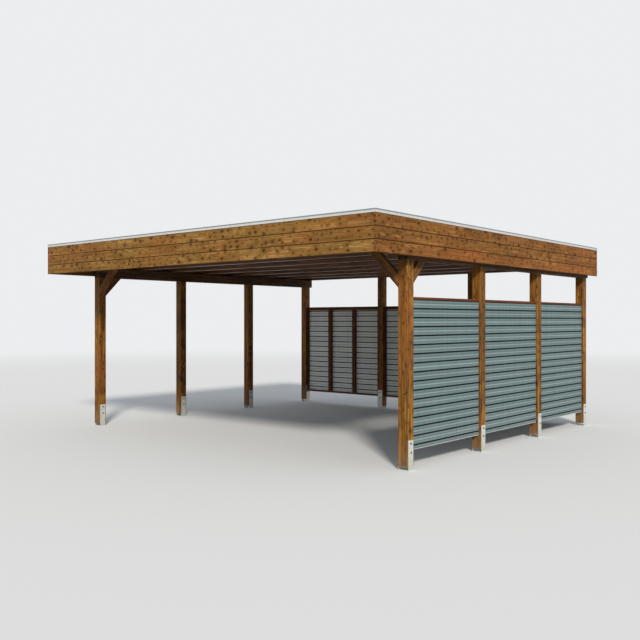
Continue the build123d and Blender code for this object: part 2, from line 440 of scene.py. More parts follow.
@shader_group("worn_edges", Place=(0, 0, 0), Facing=(0, 0, 1))
def worn_edges(b: Bench, given: Terms) -> Terms:
    """End grain and rubbed arrises, told apart by how squarely the surface faces the timber's axes.

    End is 1 where the surface faces along the length. Rub is up to 1 on the eased edges, where
    neither sideways part of the direction is near 1, and comes and goes with noise.

    Args:
        b: The bench inside the group.
        given: The inputs by name.

    Returns:
        The outputs by name.
    """
    along, breadth, depth = (abs(part) for part in given["Facing"].parts())
    end = along.rise(0.6, 0.9)
    eased = breadth.most(depth).rise(0.97, 0.9) * (1.0 - end)
    patchy = (given["Place"] * (7, 40, 40)).noise(3.0, 0.6).rise(0.42, 0.62)
    return {"End": end, "Rub": eased * patchy}


class Lay(Enum):
    """How a timber lies: its length, the breadth of its boards, and its depth, as unit vectors."""

    ACROSS = ((1, 0, 0), (0, 0, 1), (0, 1, 0))
    BACKWARD = ((0, 1, 0), (0, 0, 1), (1, 0, 0))
    UPRIGHT = ((0, 0, 1), (1, 0, 0), (0, 1, 0))
    BRACE_BACKWARD = ((0, SLANT, SLANT), (0, -SLANT, SLANT), (1, 0, 0))
    BRACE_TO_RIGHT = ((SLANT, 0, SLANT), (-SLANT, 0, SLANT), (0, 1, 0))
    BRACE_TO_LEFT = ((-SLANT, 0, SLANT), (SLANT, 0, SLANT), (0, 1, 0))

    def turn(self, point: Point) -> list[Number]:
        """A place or direction by its reach along the length, the breadth and the depth."""
        return [point.along(axis) for axis in self.value]


class Stain(Enum):
    """Colours of the one stain on each kind of timber, some copies darker as painted shade.

    Each has four colours as a picture stores them: those of the softest, the middling and the
    hardest wood, and that of the heartwood, which shows in patches.
    """

    POSTS = ((170, 124, 48), (116, 73, 18), (54, 26, 3), (128, 66, 30))
    # Beams, rafters, braces, side boards and frames have darker, greyer or redder copies of the stain, as
    # painted shade.
    BEAMS = ((122, 92, 62), (78, 54, 35), (48, 30, 18), (76, 46, 34))
    RAFTERS = ((142, 100, 62), (90, 56, 32), (56, 31, 18), (86, 46, 34))
    BRACES = ((158, 114, 64), (108, 70, 36), (58, 32, 14), (112, 58, 34))
    FRONT_BOARDS = ((178, 140, 84), (131, 95, 44), (80, 45, 11), (128, 66, 30))
    SIDE_BOARDS = ((174, 128, 72), (128, 84, 38), (78, 38, 10), (128, 66, 30))
    FRAMES = ((120, 72, 42), (90, 48, 26), (60, 30, 14), (96, 44, 24))


@dataclass(frozen=True)
class Finish(ABC):
    """A finish, which makes one material of its name."""

    name: str

    @abstractmethod
    def surface(self, b: Bench) -> Inputs:
        """Builds the pattern and returns the shader's inputs by name."""

    def material(self) -> Material:
        """Makes the material.

        Returns:
            A new material with this finish.
        """
        material = bpy.data.materials.new(self.name)
        b = empty_bench(material)
        shader = b.out("ShaderNodeBsdfPrincipled", self.surface(b))
        b.node("ShaderNodeOutputMaterial", {"Surface": shader})
        return material


@dataclass(frozen=True)
class StainedTimber(Finish):
    """Spruce under a nut-brown translucent stain.

    Attributes:
        lay, stain: How the timber lies, and its colours.
        start, step: Where the boards or lamellas begin along the breadth, and the breadth of one.
        apart: Distance between like timbers along the depth, so that each has its own grain.
        first: Middle of the first of them.
        mirrored: True where the rows on the left are the mirror image of those on the right.
        splice: Where the boards above the lowest row are joined, along the length.
        seam, seam_reach: Darkness of the seam between rows, from 0 to 1, and its half width.
        spacing: Cell size for one knot, along the length, breadth and depth.
        roundness: What the distance to a knot is multiplied by, along the same three.
        knots: Share of the cells that hold a knot.
        core, dust: Colours of knots and seams, and of the dust near the ground.
        relief: Depth of the grain's relief.
        gloss: The stain's gloss, where 0.5 is a glossy lacquer.
        rough: Roughness of the hardest and of the softest wood.
        rub_and_sheen: How far the eased edges are lightened to the softest wood, from 0 to 1: wear, and
            where raised, on beams and rafters, also a painted highlight.
        ends: How much darker the end grain is, from 0 to 1.
    """

    lay: Lay
    stain: Stain
    start: float
    step: float
    apart: float = 1.0
    first: float = 0.0
    mirrored: bool = False
    splice: float = FAR
    seam: float = 0.5
    seam_reach: float = 0.0016
    spacing: Triple = (0.2, 0.1, 0.1)
    roundness: Triple = (0.8, 1.0, 1.0)
    knots: float = 0.6
    core: Colour = paint(46, 18, 2)
    dust: Colour = paint(150, 138, 118)
    relief: float = 0.0006
    gloss: float = 0.15
    rough: tuple[float, float] = (0.55, 0.8)
    rub_and_sheen: float = 0.4
    ends: float = 0.45

    def surface(self, b: Bench) -> Inputs:
        """Grain colours first, then rows of different tone, seams, knots, edges and weather.

        A face along a seam belongs to the row behind it, so its row is read half a step inside.

        Args:
            b: The material's bench.

        Returns:
            The shader's inputs by name.
        """
        here = b.place()
        facing = self.lay.turn(b.facing())
        length, breadth, depth = self.lay.turn(here)
        inside = breadth - facing[1] * abs(facing[1]).rise(0.8, 0.95) * (self.step / 2)
        height = abs(inside) if self.mirrored else inside
        which = ((depth - self.first) / self.apart).step("ROUND")
        rows = board_rows(b, Height=height, Start=self.start, Step=self.step, Seed=which)
        beyond = length.above(self.splice) * rows["Row"].above(0.5)
        chance = (rows["Chance"] + beyond * 0.37).step("FRACT")
        laid = b.join(length, breadth, depth)
        grain = knotty_grain(
            b, Place=laid, Off=rows["Off"], Chance=chance, Spacing=self.spacing,
            Roundness=self.roundness, Share=self.knots,
        )
        wear = outdoor_wear(b, Place=here)
        edges = worn_edges(b, Place=laid, Facing=b.join(*facing))

        pale, middle, deep, red = (paint(*tone) for tone in self.stain.value)
        shade = grain["Streak"] * 1.7 - grain["Halo"] * 0.25 - grain["Ring"] * 0.3
        shade = shade - grain["Fibre"] * 0.25 - 0.08
        colour = b.blend(shade.rise(-0.05, 0.5), deep, middle).mix(shade.rise(0.45, 1.0), pale)
        colour = colour.mix((chance * 0.4 + wear["Blotch"]).rise(0.66, 1.05) * 0.4, red)
        tone = chance.spread(0.87, 1.07) * grain["Cloud"].spread(0.55, 1.45)
        tone = tone * (edges["End"] * -self.ends + 1.0)
        colour = colour.times(tone * wear["Blotch"].spread(0.8, 1.2) * wear["Runs"].spread(0.84, 1.16))
        # Eased edges lighten towards the softest wood: wear, and on beams and rafters also a painted
        # highlight.
        colour = colour.mix(edges["Rub"] * self.rub_and_sheen, pale)
        seam = rows["Edge"].rise(self.seam_reach, self.seam_reach * 0.5) * self.seam
        dark = grain["Knot"].most(grain["Rim"] * 0.65).most(grain["Check"] * 0.7)
        colour = colour.mix(seam.most(dark * 0.88), self.core)
        relief = grain["Ring"] * 0.4 + grain["Fibre"] * 0.6 - grain["Rim"] * 0.4 - grain["Check"] * 0.9
        return {
            "Base Color": colour.mix(wear["Splash"] * 0.25, self.dust),
            "Roughness": grain["Fibre"].spread(*self.rough),
            "Specular IOR Level": self.gloss,
            "Normal": b.bump(relief, self.relief),
        }


@dataclass(frozen=True)
class SlateBoards(Finish):
    """Wall boards under an opaque slate-grey stain, with dark joints.

    Attributes:
        lay: How the boards lie.
        edge, foot: Heights of the edge that the boards are stacked from, and of the lowest edge.
        cover: Height of one board.
        inside: Colour of the inner faces, paler than the outer ones as painted light, and much paler on the
            rear wall.
        joint, groove: Half widths of the joint between boards, and of the fine groove half way up
            a board's inner face.
        slope: Half height of the sloping step half way up a board's outer face.
        shade_lines: Distance of the two soft painted shade lines from the middle of that step.
        face, worn: Colours of the outer faces, and where weather has thinned their stain.
        slope_highlight: Colour of the sloping steps, a painted highlight where they face up into the light.
        gap, dust: Colours in the joints and of the painted shade lines by the steps, and of the dust near
            the ground.
        foot_highlight: Colour of the lowest edge, a painted highlight.
        relief: Depth of the grain's relief.
        gloss: The stain's gloss, where 0.5 is a glossy lacquer.
    """

    lay: Lay
    edge: float
    foot: float
    cover: float
    inside: Colour
    joint: float = 0.010
    groove: float = 0.0045
    slope: float = 0.0085
    shade_lines: float = 0.0165
    face: Colour = paint(113, 132, 134)
    slope_highlight: Colour = paint(143, 161, 162)
    worn: Colour = paint(135, 151, 151)
    gap: Colour = paint(6, 12, 12)
    dust: Colour = paint(150, 146, 132)
    foot_highlight: Colour = paint(196, 208, 206)
    relief: float = 0.0004
    gloss: float = 0.15

    def surface(self, b: Bench) -> Inputs:
        """Stain over faint grain, then the joints and grooves by their distance.

        Args:
            b: The material's bench.

        Returns:
            The shader's inputs by name.
        """
        here = b.place()
        length, breadth, depth = self.lay.turn(here)
        rows = board_rows(b, Height=breadth, Start=self.edge, Step=self.cover)
        grain = knotty_grain(
            b, Place=b.join(length, breadth, depth), Off=rows["Off"], Chance=rows["Chance"],
            Spacing=(0.45, self.cover, 8.0), Roundness=(0.8, 1.0, 0.0), Share=0.35,
        )
        wear = outdoor_wear(b, Place=here, Top=0.75)
        _, upward, outward = self.lay.turn(b.facing())
        inner = outward.rise(-0.2, -0.7)

        thin = (grain["Fibre"] * 0.5 + wear["Blotch"] * 0.4 + wear["Runs"] * 0.3).rise(0.55, 0.85)
        # The sloping step half way up each outer face gets a painted highlight.
        step = abs(rows["Off"]).rise(self.slope + 0.002, self.slope - 0.002)
        colour = b.blend(thin * 0.4, self.face, self.worn).mix(step * 0.8, self.slope_highlight)
        # Inner faces take their own colour, paler than the outer ones as painted light, most of all on the
        # rear wall.
        colour = colour.mix(inner, self.inside)
        tone = rows["Chance"].spread(0.92, 1.06) * grain["Streak"].spread(0.86, 1.1)
        colour = colour.times(tone * wear["Runs"].spread(0.88, 1.08) * (grain["Knot"] * -0.12 + 1.0))
        colour = colour.mix(wear["Splash"] * 0.15, self.dust)
        outer = 1.0 - inner
        # A painted highlight along the lowest edge of the outer faces.
        foot_highlight = breadth.rise(self.foot + 0.010, self.foot + 0.006) * outer
        colour = colour.mix(foot_highlight * 0.7, self.foot_highlight)
        groove = abs(rows["Off"]).rise(self.groove, self.groove * 0.3) * inner * 0.7
        # Painted shade under the step's lip and in two soft lines beside it, in the joint colour.
        lip_shadow = abs(rows["Off"] - self.slope).rise(0.0022, 0.0008) * outer * 0.5
        shade_lines = abs(abs(rows["Off"] - 0.002) - self.shade_lines).rise(0.007, 0.002) * outer * 0.22
        joint = rows["Edge"].rise(self.joint, self.joint * 0.8) * abs(upward).rise(1.0, 0.9) * 0.97
        return {
            "Base Color": colour.mix((groove + lip_shadow + shade_lines).most(joint), self.gap),
            "Specular IOR Level": self.gloss,
            "Roughness": grain["Streak"].spread(0.5, 0.75),
            "Normal": b.bump(grain["Fibre"] + grain["Ring"], self.relief),
        }


@dataclass(frozen=True)
class ZincCoat(Finish):
    """Hot-dip galvanised steel, with crystals of different shine.

    Attributes:
        crystal: Crystals to the metre.
        bright, dull: Colours of the brightest and the dullest crystal.
        bloom, dust: Colours of the white bloom, and of the dust near the ground.
        relief: Depth of the unevenness.
    """

    crystal: float = 90.0
    bright: Colour = paint(232, 232, 223)
    dull: Colour = paint(202, 203, 195)
    bloom: Colour = paint(228, 230, 228)
    dust: Colour = paint(140, 130, 112)
    relief: float = 0.0002

    def surface(self, b: Bench) -> Inputs:
        """One tone and roughness to each crystal, white bloom in patches, dust at the foot.

        Args:
            b: The material's bench.

        Returns:
            The shader's inputs by name.
        """
        here = b.place()
        crystals = b.node("ShaderNodeTexVoronoi", {"Vector": here, "Scale": self.crystal})
        shine, grip, _ = Point(b, crystals.outputs["Color"]).parts()
        wear = outdoor_wear(b, Place=here, Top=0.42)
        bloom = (here * (25, 25, 14)).noise(5.0, 0.65).rise(0.52, 0.7)
        colour = b.blend(shine, self.dull, self.bright).mix(bloom * 0.4, self.bloom)
        return {
            "Base Color": colour.mix(wear["Splash"] * 0.25, self.dust),
            "Metallic": 0.4,
            "Roughness": bloom * 0.2 + grip.spread(0.34, 0.5),
            "Normal": b.bump((here * (220, 220, 220)).noise(), self.relief),
        }


@dataclass(frozen=True)
class DrawnAluminium(Finish):
    """Aluminium with drawing lines along its length and a light haze.

    Attributes:
        lay: How the length lies.
        shine, haze: Colours of the clean metal and of the oxide on it.
        bend, upper_reflection: Height of the trim's bend, and the darker colour above it, a painted dull
            reflection.
        depth: Depth of the relief.
    """

    lay: Lay
    shine: Colour = paint(232, 231, 225)
    haze: Colour = paint(208, 208, 202)
    bend: float = FAR
    upper_reflection: Colour = paint(136, 142, 142)
    depth: float = 0.00015

    def relief(self, b: Bench, lines: Number) -> Point:
        """The normal, from the drawing lines."""
        return b.bump(lines, self.depth)

    def surface(self, b: Bench) -> Inputs:
        """Lines by noise that is stretched along the length, haze by slow noise.

        Args:
            b: The material's bench.

        Returns:
            The shader's inputs by name.
        """
        here = b.place()
        lines = (b.join(*self.lay.turn(here)) * (2, 600, 600)).noise(2.0, 0.6)
        wear = outdoor_wear(b, Place=here)
        dull = (lines * 0.3 + wear["Blotch"] * 0.5 + wear["Runs"] * 0.4).rise(0.4, 0.85)
        # Above the bend the colour is darkened, as a painted dull reflection.
        above = here.parts()[2].rise(self.bend - 0.003, self.bend + 0.002)
        return {
            "Base Color": b.blend(dull, self.shine, self.haze).mix(above * 0.9, self.upper_reflection),
            "Metallic": 0.9,
            "Roughness": dull.spread(0.3, 0.48),
            "Normal": self.relief(b, lines),
        }


@dataclass(frozen=True)
class StuccoSheet(DrawnAluminium):
    """Roofing aluminium whose surface is embossed all over with fine pebbles.

    Attributes:
        pebbles: Pebbles to the metre.
    """

    shine: Colour = paint(188, 192, 194)
    haze: Colour = paint(168, 173, 175)
    depth: float = 0.0006
    pebbles: float = 260.0

    def relief(self, b: Bench, lines: Number) -> Point:
        """The normal, from the distance to each pebble's middle."""
        inputs = {"Vector": b.place(), "Scale": self.pebbles}
        return b.bump(b.out("ShaderNodeTexVoronoi", inputs, feature="SMOOTH_F1"), self.depth)


@dataclass(frozen=True)
class ScrewSteel(Finish):
    """Bronzed steel of the screw heads, with rubbed rims.

    Attributes:
        clean, dirty: Colours of the rubbed steel, and in the recess and under the rim.
    """

    clean: Colour = paint(138, 128, 112)
    dirty: Colour = paint(72, 60, 46)

    def surface(self, b: Bench) -> Inputs:
        """Dirt by fine noise over clean steel.

        Args:
            b: The material's bench.

        Returns:
            The shader's inputs by name.
        """
        dirt = (b.place() * (300, 300, 300)).noise(4.0, 0.7).rise(0.42, 0.66)
        return {
            "Base Color": b.blend(dirt, self.clean, self.dirty),
            "Metallic": 0.8,
            "Roughness": dirt.spread(0.34, 0.62),
        }


@dataclass(frozen=True)
class Shape:
    """A closed mesh as arrays: vertices, four-sided faces, and end faces."""

    points: np.ndarray
    quads: np.ndarray
    ends: np.ndarray


def copies(shape: Shape, points: np.ndarray) -> Shape:
    """Repeats a shape's faces for copies of its points.

    Args:
        shape: The shape.
        points: The points of every copy, one copy after the other.

    Returns:
        All copies as one shape.
    """
    first = (np.arange(len(points)) * len(shape.points))[:, None, None]
    quads, ends = ((kind[None] + first).reshape(-1, kind.shape[1]) for kind in (shape.quads, shape.ends))
    return Shape(points.reshape(-1, 3), quads, ends)


def turned(profile: Profile, sides: int, flats: int = 0) -> Shape:
    """Carries a profile round the Z axis.

    A point is (r(a) cos a, r(a) sin a, h) for each (radius, h) of the profile. r(a) is the radius,
    or with flats it is the lesser of the radius and the distance to the flats of the polygon
    whose corners lie at the profile's largest radius.

    Args:
        profile: Radius and height pairs, from the foot to the top.
        sides: Points to a turn.
        flats: Number of spanner flats, or 0 for a round piece.

    Returns:
        The closed shape, with its faces outwards.
    """
    radius, height = np.repeat(np.array(profile, float).T[:, :, None], sides, axis=2)
    angle = np.arange(sides) * 2 * np.pi / sides
    if flats:
        turn = 2 * np.pi / flats
        nearest = (angle + turn / 2) % turn - turn / 2
        radius = np.minimum(radius, radius.max() * np.cos(turn / 2) / np.cos(nearest))
    points = np.stack([radius * np.cos(angle), radius * np.sin(angle), height], axis=-1)
    ring, step = np.meshgrid(np.arange(len(profile) - 1), np.arange(sides), indexing="ij")
    low, high = ring * sides, (ring + 1) * sides
    after = (step + 1) % sides
    quads = np.stack([low + step, low + after, high + after, high + step], axis=-1).reshape(-1, 4)
    top = (len(profile) - 1) * sides + np.arange(sides)
    return Shape(points.reshape(-1, 3), quads, np.stack([np.arange(sides)[::-1], top]))


def carried(profile: Profile, starts: np.ndarray, reach: float) -> Shape:
    """Carries a closed profile straight to the rear, once from each start.

    Point i of a copy is start + (x_i, 0, z_i) at the front, and reach further on at the rear.

    Args:
        profile: X and Z pairs, anticlockwise seen from the front.
        starts: One place to a copy.
        reach: How far the profile is carried.

    Returns:
        All copies as one closed shape.
    """
    count = len(profile)
    near = np.insert(np.array(profile, float), 1, 0.0, axis=1)
    both = np.concatenate([near, near + (0, reach, 0)])
    step = np.arange(count)
    after = (step + 1) % count
    quads = np.stack([step, step + count, after + count, after], axis=-1)
    ends = np.stack([step, (step + count)[::-1]])
    return copies(Shape(both, quads, ends), both[None] + starts[:, None, :])


def stood(shape: Shape, spots: Spots) -> Shape:
    """Stands copies of a shape on a surface.

    Every point p of the shape goes to place + p.x * side + p.y * other + p.z * outward, where side
    and other are two unit vectors square to outward.

    Args:
        shape: The shape, with its foot on Z = 0.
        spots: One place and one unit direction outwards to a copy.

    Returns:
        All copies as one shape.
    """
    places, outward = spots
    helper = np.where(np.abs(outward[:, 2:3]) > 0.9, [[1.0, 0.0, 0.0]], [[0.0, 0.0, 1.0]])
    side = np.cross(helper, outward)
    side /= np.linalg.norm(side, axis=1, keepdims=True)
    turn = np.stack([side, np.cross(outward, side), outward], axis=1)
    return copies(shape, np.einsum("pk,nkj->npj", shape.points, turn) + places[:, None, :])


def together(*shapes: Shape) -> Shape:
    """Joins shapes, the faces of each counted on from the points of those before.

    Args:
        shapes: Shapes with the same number of sides.

    Returns:
        All of them as one shape.
    """
    starts = np.cumsum([0] + [len(s.points) for s in shapes[:-1]])
    moved = ((s.points, s.quads + start, s.ends + start) for s, start in zip(shapes, starts))
    return Shape(*map(np.concatenate, zip(*moved)))


def hexagon(across_flats: float, foot: float, top: float, sides: int) -> Shape:
    """A six-sided head or nut with a chamfered top, from one height to another."""
    corner = across_flats / math.sqrt(3)
    return turned([(corner, foot), (corner, top - CHAMFER), (corner * 0.84, top)], sides, flats=6)


def grid(xs: Floats, ys: Floats, zs: Floats, outward: Floats) -> Spots:
    """Every place with its coordinates from the three lists, and one direction for all of them."""
    places = np.stack(np.meshgrid(xs, ys, zs, indexing="ij"), axis=-1).reshape(-1, 3)
    return places, np.tile(np.array(outward, float), (len(places), 1))


def all_of(*spots: Spots) -> Spots:
    """Several sets of spots as one."""
    return tuple(map(np.concatenate, zip(*spots)))


def placed(name: str, data: ID) -> Object:
    """Puts a new object into the scene.

    Args:
        name: Its name.
        data: Its mesh, lamp or camera.

    Returns:
        The object.
    """
    made = bpy.data.objects.new(name, data)
    bpy.context.scene.collection.objects.link(made)
    return made


def add_piece(name: str, shape: Shape, finish: Material) -> None:
    """Makes a piece from a shape and lets it ride on the carport.

    Args:
        name: The piece's name.
        shape: Its mesh, in the part's own coordinates.
        finish: Its material.
    """
    mesh = bpy.data.meshes.new(name)
    mesh.from_pydata(shape.points.tolist(), [], shape.quads.tolist() + shape.ends.tolist())
    mesh.shade_smooth()
    mesh.set_sharp_from_angle(angle=SHARP_ANGLE)
    mesh.materials.append(finish)
    piece = placed(name, mesh)
    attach(piece, ROOT)
    log.info("%s: %d faces of %s", name, len(mesh.polygons), finish.name)


def named(start: str) -> list[str]:
    """The nodes whose names begin so, in order."""
    return sorted(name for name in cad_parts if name.startswith(start))


def dress(names: Sequence[str], finish: Finish) -> None:
    """Gives solids of the carport one material of a finish.

    Args:
        names: Their nodes' names.
        finish: The finish.
    """
    material = finish.material()
    for name in names:
        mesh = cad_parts[name].data
        mesh.materials.clear()
        mesh.materials.append(material)
        log.info("%s: dressed in %s", name, material.name)


def middle_of(name: str) -> Vector:
    """The middle of a node's box."""
    low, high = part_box(name)
    return (low + high) / 2


def spacing(names: Sequence[str]) -> tuple[float, float]:
    """The middle of the first of a row of nodes, to the rear, and the distance to the second."""
    first, second = (middle_of(name).y for name in names[:2])
    return first, second - first


@dataclass(frozen=True)
class Screw:
    """A countersunk screw, of which the head shows, slightly proud and with a round recess.

    Attributes:
        radius, proud, sides: Radius of the head, how far it stands out, and the points round it.
    """

    radius: float
    proud: float
    sides: int

    def drive(self, name: str, spots: Spots, steel: Material) -> None:
        """Adds a piece with one screw at each spot.

        Args:
            name: The piece's name.
            spots: Where the screws sit and which way they face.
            steel: Their material.
        """
        profile = [
            (self.radius * 0.92, -0.001), (self.radius, self.proud * 0.3), (self.radius * 0.78, self.proud),
            (self.radius * 0.42, self.proud), (self.radius * 0.34, self.proud - self.radius * 0.4),
        ]
        add_piece(name, stood(turned(profile, self.sides), spots), steel)


@dataclass(frozen=True)
class Timbers:
    """Posts, beams, rafters and knee braces.

    Attributes:
        lamella: Thickness of one layer of the glued timber.
        screw: The screws of the braces.
        screw_inset: How far they lie from the brace's ends, along its outer face.
        screw_apart: Half the distance between the two screws of a pair.
    """

    lamella: float = 0.04
    screw: Screw = Screw(0.0075, 0.0018, 16)
    screw_inset: float = 0.075
    screw_apart: float = 0.014

    def build(self, steel: Material) -> None:
        """Dresses the timbers and drives the brace screws.

        Args:
            steel: Material of the screws.
        """
        self.posts()
        self.spans()
        self.braces(steel)

    def posts(self) -> None:
        """Dresses the posts. Those on the left have the lamellas of those on the right, mirrored."""
        left, right, rear = (named(f"post_{place}") for place in ("left", "right", "rear"))
        for kind, posts, model, (first, apart) in (
            ("post_timber", left + right, right[0], spacing(right)),
            ("rear_post_timber", rear, rear[1], (0.0, 1.0)),
        ):
            timber = StainedTimber(
                kind, Lay.UPRIGHT, Stain.POSTS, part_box(model)[0].x, self.lamella, apart, first,
                mirrored=True, spacing=(0.1, 0.042, 0.042), knots=0.64, gloss=0.24,
            )
            dress(posts, timber)

    def spans(self) -> None:
        """Dresses the beams along the sides and the rafters across."""
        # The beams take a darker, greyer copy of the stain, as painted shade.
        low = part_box("beam_left")[0].z
        # The raised rub on the beams paints a highlight on their eased edges, beyond wear.
        beam = StainedTimber("beam_timber", Lay.BACKWARD, Stain.BEAMS, low, self.lamella, 2.0, rub_and_sheen=0.8)
        dress(named("beam"), beam)
        rafters = named("rafter")
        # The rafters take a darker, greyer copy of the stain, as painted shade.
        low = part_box(rafters[0])[0].z
        first, apart = spacing(rafters)
        # The full rub on the rafters paints a highlight on their eased edges, beyond wear.
        rafter = StainedTimber(
            "rafter_timber", Lay.ACROSS, Stain.RAFTERS, low, self.lamella, apart, first,
            gloss=0.5, rough=(0.28, 0.42), rub_and_sheen=1.0,
        )
        dress(rafters, rafter)

    def braces(self, steel: Material) -> None:
        """Dresses each brace by the way it leans, and puts two screws at each end.

        Args:
            steel: Material of the screws.
        """
        leans = {
            Lay.BRACE_BACKWARD: (["brace_left_side", "brace_right_side"], Vector((0, 1, 0))),
            Lay.BRACE_TO_RIGHT: (["brace_left_front"], Vector((1, 0, 0))),
            Lay.BRACE_TO_LEFT: (["brace_right_front"], Vector((-1, 0, 0))),
        }
        upward = Vector((0, 0, 1))
        places, outward = [], []
        for lay, (names, run) in leans.items():
            # The braces take a darker copy of the stain, as painted shade.
            dress(names, StainedTimber(f"{lay.name.lower()}_timber", lay, Stain.BRACES, 0.0, self.lamella))
            slope = (run + upward).normalized()
            facing = (run - upward).normalized()
            across = facing.cross(slope)
            for name in names:
                low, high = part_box(name)
                foot = middle_of(name) - run * (abs(run.dot(high - low)) / 2)
                foot.z = low.z
                length = (high.z - low.z) * math.sqrt(2)
                for reach in (self.screw_inset, length - self.screw_inset):
                    for side in (-self.screw_apart, self.screw_apart):
                        places.append(foot + slope * reach + across * side)
                        outward.append(facing)
        self.screw.drive("brace_screws", (np.array(places), np.array(outward)), steel)


@dataclass(frozen=True)
class Edging:
    """Fascia boards with their screws, and the metal trim on them.

    Attributes:
        rows: Boards one above the other.
        gap: Gap between boards.
        splice: Distance of the side boards' joint from the front.
        screw: The screws of the boards.
        screw_from_edge: Distance of a screw from the long edge of its board.
        front_columns: Columns of screws in the front boards.
        trim_bend: Distance of the trim's bend below its top.
    """

    rows: int = 3
    gap: float = 0.0005
    splice: float = 4.33
    screw: Screw = Screw(0.0044, 0.0008, 10)
    screw_from_edge: float = 0.03
    front_columns: int = 10
    trim_bend: float = 0.014

    def build(self, steel: Material) -> None:
        """Dresses boards and trims and drives the screws.

        Args:
            steel: Material of the screws.
        """
        low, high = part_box("fascia_front")
        step = (high.z - low.z + self.gap) / self.rows
        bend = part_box("trim_front")[1].z - self.trim_bend
        # The side boards take a redder, darker copy of the front boards' stain, as painted shade.
        for kind, lay, stain, splice, places in (
            ("front", Lay.ACROSS, Stain.FRONT_BOARDS, FAR, ["front"]),
            ("side", Lay.BACKWARD, Stain.SIDE_BOARDS, low.y + self.splice, ["left", "right"]),
        ):
            board = StainedTimber(
                f"{kind}_board_timber", lay, stain, low.z, step, splice=splice, seam=0.95,
                seam_reach=0.006, spacing=(0.11, 0.065, 30.0), roundness=(0.75, 1.0, 0.0), knots=0.72,
                gloss=0.1, ends=0.05,
            )
            dress([f"fascia_{place}" for place in places], board)
            trim = DrawnAluminium(f"{kind}_trim_metal", lay, bend=bend)
            dress([f"trim_{place}" for place in places], trim)

        lines = (self.screw_from_edge, step - self.gap - self.screw_from_edge)
        heights = [low.z + row * step + line for row in range(self.rows) for line in lines]
        reach = high.x - self.screw_from_edge
        columns = np.linspace(-reach, reach, self.front_columns)
        rafters = [middle_of(name).y for name in named("rafter")]
        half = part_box("fascia_right")[1].x
        spots = all_of(
            grid(columns, [low.y], heights, (0, -1, 0)),
            grid([half], rafters, heights, (1, 0, 0)),
            grid([-half], rafters, heights, (-1, 0, 0)),
        )
        self.screw.drive("fascia_screws", spots, steel)


@dataclass(frozen=True)
class Walls:
    """Boarded walls of the right side and the rear.

    Attributes:
        cover: Height of one board.
        stile: Width of an end stile.
        battens: Battens between two stiles.
        screw: The screws of the boards.
        screw_level: Height of a screw above its board's lower edge, as a share of the cover.
    """

    cover: float = 0.0975
    stile: float = 0.03
    battens: int = 2
    screw: Screw = Screw(0.0034, 0.0007, 8)
    screw_level: float = 0.25

    def columns(self, low: float, high: float) -> list[float]:
        """Where stiles and battens stand between two posts."""
        inner = [low + (high - low) * (i + 1) / (self.battens + 1) for i in range(self.battens)]
        return [low + self.stile / 2, *inner, high - self.stile / 2]

    def build(self, steel: Material) -> None:
        """Dresses boards and frames, and drives a screw where each board crosses an upright.

        The frames' names come after the numbered ones of the boards.

        Args:
            steel: Material of the screws.
        """
        side, rear = (named(f"{place}_wall_")[:-1] for place in ("side", "rear"))
        low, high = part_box(side[0])
        # The inner faces are paler than the outer ones, and much paler on the rear wall, as painted light.
        for kind, lay, edge, panels, inside, gloss in (
            ("side", Lay.BACKWARD, high.z, side, paint(132, 148, 146), 0.15),
            ("rear", Lay.ACROSS, low.z, rear, paint(238, 240, 232), 0.5),
        ):
            slate = SlateBoards(f"{kind}_wall_boards", lay, edge, low.z, self.cover, inside, gloss=gloss)
            # The frames take a darker copy of the stain, as painted shade.
            dress(panels, slate)
            wood = StainedTimber(
                f"{kind}_frame_timber", lay, Stain.FRAMES, 1.0, 2.0, seam=0.0, spacing=(0.16, 0.06, 0.06)
            )
            dress([f"{kind}_wall_frames"], wood)

        boards = np.arange(int((high.z - low.z) // self.cover))
        side_heights = high.z - (boards + 1 - self.screw_level) * self.cover
        rear_heights = low.z + (boards + self.screw_level) * self.cover
        spots = []
        for near, far in map(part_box, side):
            spots.append(grid([far.x], self.columns(near.y, far.y), side_heights, (1, 0, 0)))
        for near, far in map(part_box, rear):
            spots.append(grid(self.columns(near.x, far.x), [far.y], rear_heights, (0, 1, 0)))
        self.screw.drive("wall_screws", all_of(*spots), steel)


